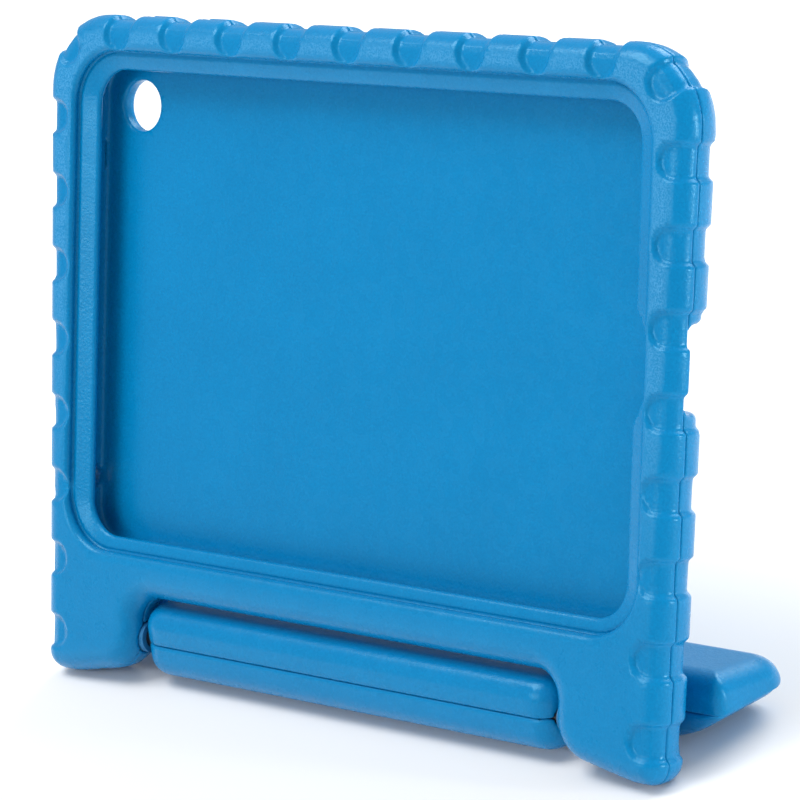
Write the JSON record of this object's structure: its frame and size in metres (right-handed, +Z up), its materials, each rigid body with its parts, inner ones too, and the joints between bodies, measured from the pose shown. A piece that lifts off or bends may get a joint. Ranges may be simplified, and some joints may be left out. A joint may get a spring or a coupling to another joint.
{
  "type": "tablet case",
  "caption": "Foam case for a small tablet, with a wide swinging handle that folds back as a stand.",
  "frame": {"origin": "bottom centre of the bounding box, on the table, with the handle out as a stand", "axes": "+X to the right as one faces the screen window, +Y to the back, +Z up"},
  "size_m": [0.23, 0.0742, 0.1761],
  "materials": {
    "foam": "moulded closed-cell foam, satin, fine grain",
    "nylon": "moulded, matte",
    "ring_rubber": "moulded, matte",
    "steel": "turned and blackened"
  },
  "bodies": {
    "case": {"front_shell": "foam", "back_shell": "foam", "leg_socket_left": "nylon", "leg_socket_right": "nylon", "friction_ring_left": "ring_rubber", "friction_ring_right": "ring_rubber"},
    "handle": {"handle_top": "foam", "handle_bottom": "foam", "handle_core": "nylon", "hinge_pin_left": "steel", "hinge_pin_right": "steel", "pin_clip_left": "steel", "pin_clip_right": "steel"},
    "volume_up": {"volume_up_pad": "foam"},
    "volume_down": {"volume_down_pad": "foam"},
    "power": {"power_pad": "foam"}
  },
  "joints": [
    {"name": "handle_swing", "type": "hinge", "parent": "case", "child": "handle", "pos_m": [0, -0.02592, 0.01242], "axis": [1, 0, 0], "range_deg": [-180, 0]},
    {"name": "volume_up_press", "type": "slide", "parent": "case", "child": "volume_up", "axis": [0, -0.3337, -0.9427], "range_m": [0, 0.001], "stiffness_N_per_m": 800},
    {"name": "volume_down_press", "type": "slide", "parent": "case", "child": "volume_down", "axis": [0, -0.3337, -0.9427], "range_m": [0, 0.001], "stiffness_N_per_m": 800},
    {"name": "power_press", "type": "slide", "parent": "case", "child": "power", "axis": [1, 0, 0], "range_m": [0, 0.001], "stiffness_N_per_m": 800}
  ]
}
